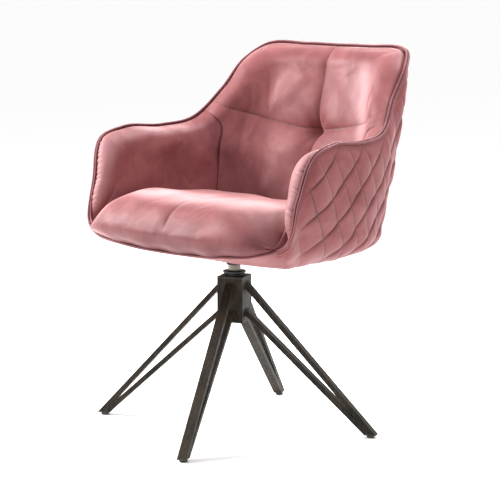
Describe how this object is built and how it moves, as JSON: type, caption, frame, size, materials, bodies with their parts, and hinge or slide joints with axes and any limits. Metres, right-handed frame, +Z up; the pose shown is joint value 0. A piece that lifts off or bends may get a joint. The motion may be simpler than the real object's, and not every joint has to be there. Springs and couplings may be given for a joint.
{
  "type": "swivel armchair",
  "caption": "Upholstered velvet bucket armchair with padded arms and quilted outside, turning on a four-legged spider base of twin bars.",
  "frame": {"origin": "on the floor, under the middle of the bounding box; the swivel axis stands 32.7 mm in front of it", "axes": "+Z up, the seat faces -Y, +X is to the right in a front view from -Y"},
  "size_m": [0.6442, 0.6959, 0.8606],
  "materials": {
    "velvet": "velvet pile",
    "quilted_velvet": "velvet pile, stitched in diamonds",
    "piping_velvet": "velvet-covered cord",
    "bronze_paint": "satin dark bronze, faintly brushed",
    "black_plastic": "matt",
    "nylon": "natural",
    "steel": "turned",
    "black_steel": "satin black",
    "bearing_steel": "ground",
    "cage_brass": "stamped",
    "plywood": "raw",
    "shell_board": "raw moulded ply",
    "dust_cloth": "non-woven"
  },
  "bodies": {
    "base": {"hub_tube": "bronze_paint", "hub_cap_plate": "bronze_paint", "hub_bottom_plate": "bronze_paint", "bearing_cup": "black_plastic", "bearing_lower_race": "bearing_steel", "upper_bush": "nylon", "lower_bush": "nylon", "leg_upper_bar_1": "bronze_paint", "leg_lower_bar_1": "bronze_paint", "foot_plate_1": "bronze_paint", "floor_glide_1": "black_plastic", "leg_upper_bar_2": "bronze_paint", "leg_lower_bar_2": "bronze_paint", "foot_plate_2": "bronze_paint", "floor_glide_2": "black_plastic", "leg_upper_bar_3": "bronze_paint", "leg_lower_bar_3": "bronze_paint", "foot_plate_3": "bronze_paint", "floor_glide_3": "black_plastic", "leg_upper_bar_4": "bronze_paint", "leg_lower_bar_4": "bronze_paint", "foot_plate_4": "bronze_paint", "floor_glide_4": "black_plastic"},
    "bearing_cage": {"ball_cage": "cage_brass", "bearing_ball_1": "bearing_steel", "bearing_ball_2": "bearing_steel", "bearing_ball_3": "bearing_steel", "bearing_ball_4": "bearing_steel", "bearing_ball_5": "bearing_steel", "bearing_ball_6": "bearing_steel", "bearing_ball_7": "bearing_steel", "bearing_ball_8": "bearing_steel"},
    "seat": {"spindle": "steel", "bearing_upper_race": "bearing_steel", "spindle_washer": "steel", "retaining_ring": "bearing_steel", "swivel_collar": "black_plastic", "seat_plate": "black_steel", "plate_bolt_1": "steel", "t_nut_1": "steel", "plate_bolt_2": "steel", "t_nut_2": "steel", "plate_bolt_3": "steel", "t_nut_3": "steel", "plate_bolt_4": "steel", "t_nut_4": "steel", "seat_board": "plywood", "bucket_shell": "shell_board", "underside_cover": "dust_cloth", "outer_cover": "quilted_velvet", "back_pad": "velvet", "arm_pad_left": "velvet", "arm_pad_right": "velvet", "seat_cushion": "velvet", "rim_piping": "piping_velvet"}
  },
  "joints": [
    {"name": "swivel", "type": "hinge", "parent": "base", "child": "seat", "pos_m": [0, -0.0327, 0.36], "axis": [0, 0, 1], "continuous": true},
    {"name": "cage_turn", "type": "hinge", "parent": "base", "child": "bearing_cage", "pos_m": [0, -0.0327, 0.36], "axis": [0, 0, 1], "continuous": true}
  ],
  "couplings": [
    {"joint": "cage_turn", "follows": "swivel", "ratio": 0.5}
  ]
}
